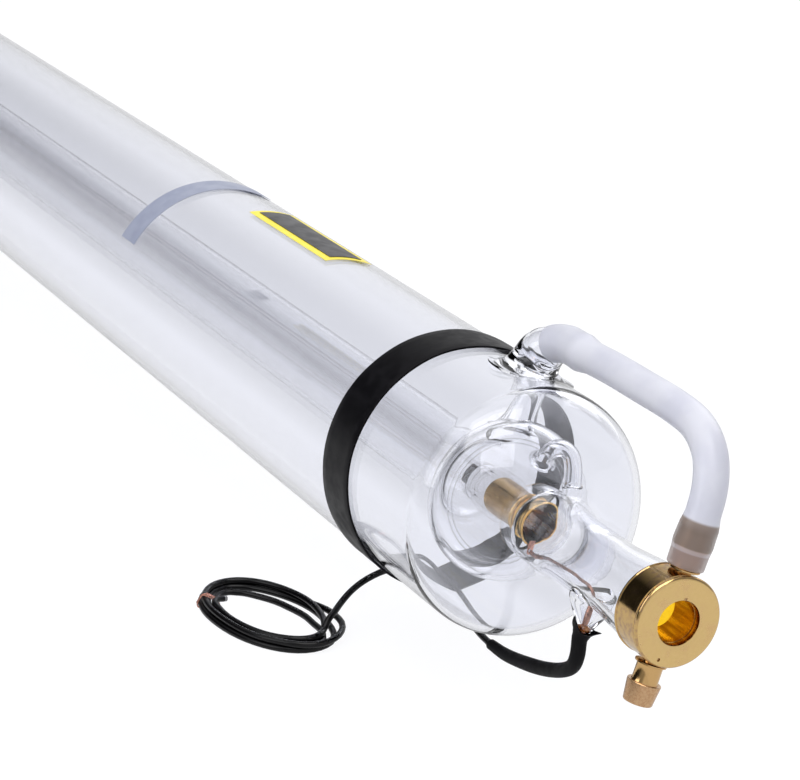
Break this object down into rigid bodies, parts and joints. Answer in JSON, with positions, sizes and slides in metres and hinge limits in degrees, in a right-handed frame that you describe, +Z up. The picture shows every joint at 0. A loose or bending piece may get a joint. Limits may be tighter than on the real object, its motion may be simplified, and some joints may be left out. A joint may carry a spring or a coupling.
{
  "type": "co2 laser tube",
  "caption": "Sealed glass laser tube with an inner water jacket, metal mirror heads, a cooling hose to the output head, a black band and a coiled cathode lead",
  "frame": {"origin": "On the tube's axis, half way along its length, where the glass rests midway between its two cradles.", "axes": "+X along the tube out of the output face, the way the beam leaves. +Z up. +Y to the side the tube is rolled towards."},
  "size_m": [1.2, 0.1092, 0.1147],
  "materials": {
    "clear_glass": "clear blown glass with a faint lilac tint",
    "bronze": "brushed bronze",
    "copper": "bare copper",
    "gilt_metal": "polished gold-coloured metal with a satin face",
    "lens_glass": "amber infrared lens",
    "mirror_metal": "polished mirror",
    "silicone": "milky translucent silicone",
    "black_plastic": "matt to semi-gloss black",
    "yellow_film": "plain yellow label film",
    "dark_film": "plain dark panel",
    "grey_film": "plain grey strip"
  },
  "bodies": {
    "root": {"outer_tube": "clear_glass", "water_jacket": "clear_glass", "cathode_chamber": "clear_glass", "discharge_tube": "clear_glass", "gas_return_tube": "clear_glass", "cathode_stem": "clear_glass", "anode_stem": "clear_glass", "front_nipple": "clear_glass", "rear_nipple": "clear_glass", "cathode_cylinder": "bronze", "anode_cylinder": "bronze", "cathode_tab": "copper", "cathode_lead": "copper", "anode_lead": "copper", "cathode_pin": "copper", "anode_pin": "copper", "wire_tie": "copper", "output_head": "gilt_metal", "rear_head": "gilt_metal", "upper_barb": "gilt_metal", "lower_barb": "gilt_metal", "output_lens": "lens_glass", "rear_mirror": "mirror_metal", "cooling_hose": "silicone", "black_band": "black_plastic", "heat_shrink_sleeve": "black_plastic", "cathode_wire": "black_plastic", "cathode_wire_coil": "black_plastic", "label_field": "yellow_film", "label_panel": "dark_film", "strip_label": "grey_film"}
  },
  "joints": []
}
